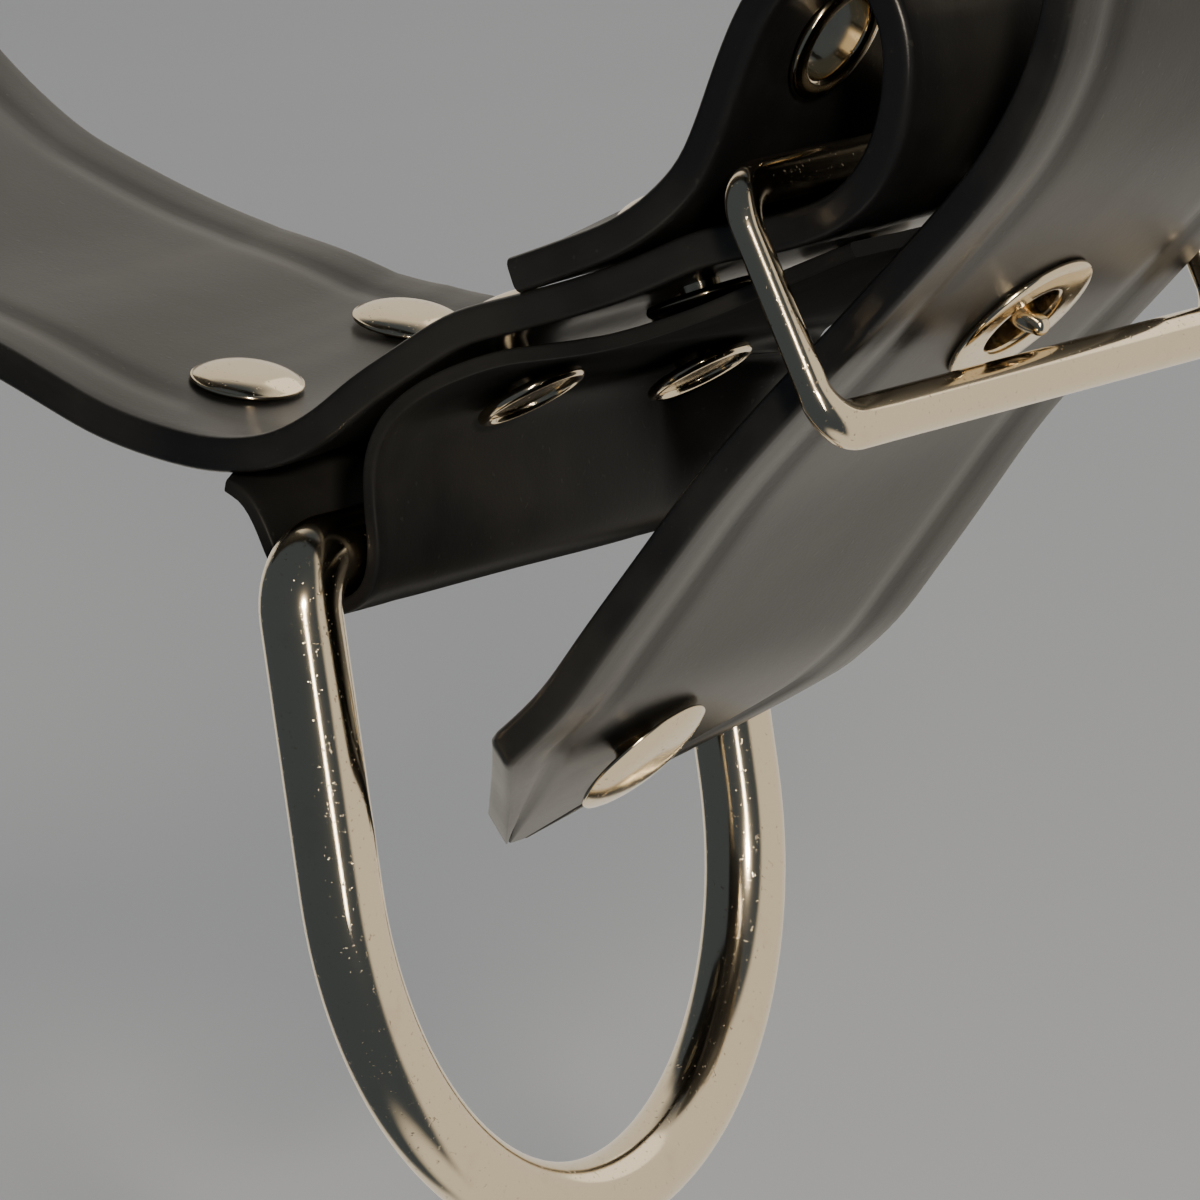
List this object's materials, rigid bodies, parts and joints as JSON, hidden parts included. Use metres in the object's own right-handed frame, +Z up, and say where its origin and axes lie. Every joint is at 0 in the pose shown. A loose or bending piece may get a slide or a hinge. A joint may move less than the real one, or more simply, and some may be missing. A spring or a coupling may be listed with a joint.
{
  "type": "riveted rubber belt with a prong buckle and a D-ring",
  "caption": "Wide black rubber strap, closed by a prong buckle into a hanging loop, with a riveted keeper that carries a swinging D-ring.",
  "frame": {"origin": "inside top of the closed loop, at mid-width, where a peg or a waist's upper side carries it", "axes": "+Z up as it hangs, +Y across the strap's width away from the viewer, +X towards the tongue side of the buckle"},
  "size_m": [0.1722, 0.0616, 0.3685],
  "materials": {
    "black_latex": "satin black latex sheet, matt at its cut edges",
    "nickel_plate": "polished nickel plate with fine pitting"
  },
  "bodies": {
    "belt": {"strap": "black_latex", "ring_keeper": "black_latex", "buckle_frame": "nickel_plate", "prong": "nickel_plate", "rivet_left_near": "nickel_plate", "rivet_left_far": "nickel_plate", "rivet_mid_near": "nickel_plate", "rivet_mid_far": "nickel_plate", "rivet_fold_near": "nickel_plate", "rivet_fold_far": "nickel_plate", "rivet_tongue": "nickel_plate", "tongue_eyelet_1": "nickel_plate", "tongue_eyelet_2": "nickel_plate", "tongue_eyelet_3": "nickel_plate", "tongue_eyelet_4": "nickel_plate", "tongue_eyelet_5": "nickel_plate", "fold_eyelet_near": "nickel_plate", "fold_eyelet_far": "nickel_plate"},
    "ring": {"d_ring": "nickel_plate"}
  },
  "joints": [
    {"name": "ring_swing", "type": "hinge", "parent": "belt", "child": "ring", "pos_m": [0, -0.0008, -0.3086], "axis": [0, 1, 0], "range_deg": [-26, 95]}
  ]
}
